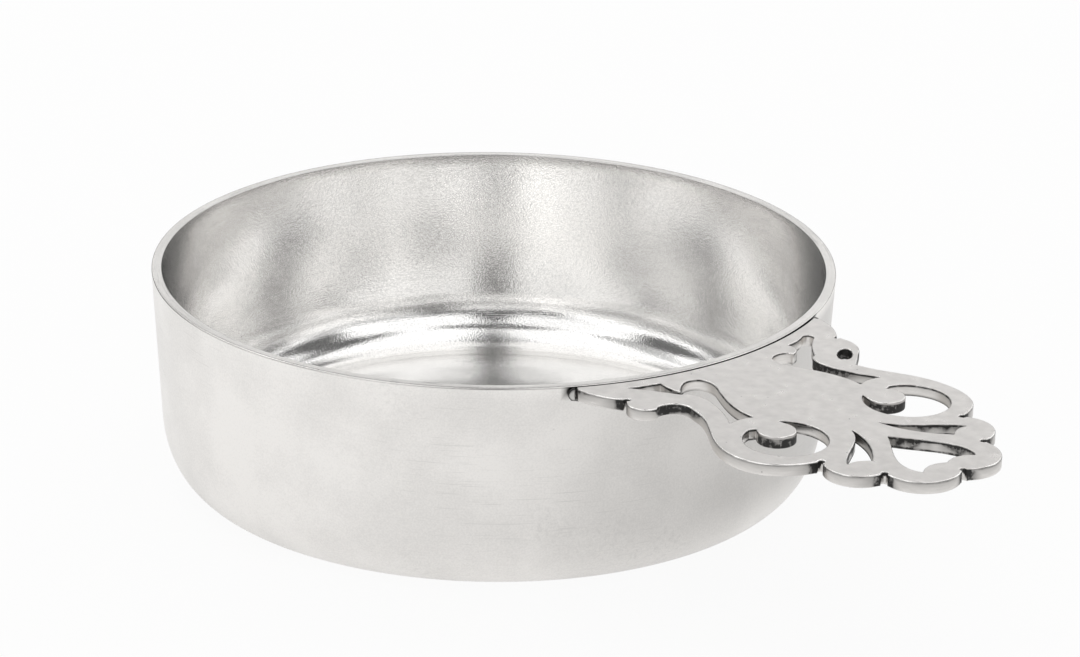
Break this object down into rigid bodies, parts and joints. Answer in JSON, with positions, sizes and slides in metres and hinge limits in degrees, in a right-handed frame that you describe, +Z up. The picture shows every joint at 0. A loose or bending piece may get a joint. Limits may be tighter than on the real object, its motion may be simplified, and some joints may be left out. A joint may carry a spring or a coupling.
{
  "type": "porringer",
  "caption": "Shallow round metal bowl with a domed base and a flat, pierced scrollwork handle set flush with its rim.",
  "frame": {"origin": "centre of the bounding box's footprint, on the table that the bowl stands on", "axes": "+X along the handle away from the bowl, +Z up"},
  "size_m": [0.1698, 0.1142, 0.036],
  "materials": {
    "bowl_silver": "satin polished silver, finely scratched",
    "handle_silver": "satin cast silver, dark patina in the piercings",
    "solder": "dull grey silver solder"
  },
  "bodies": {
    "root": {"bowl": "bowl_silver", "handle": "handle_silver", "solder_fillet": "solder"}
  },
  "joints": []
}
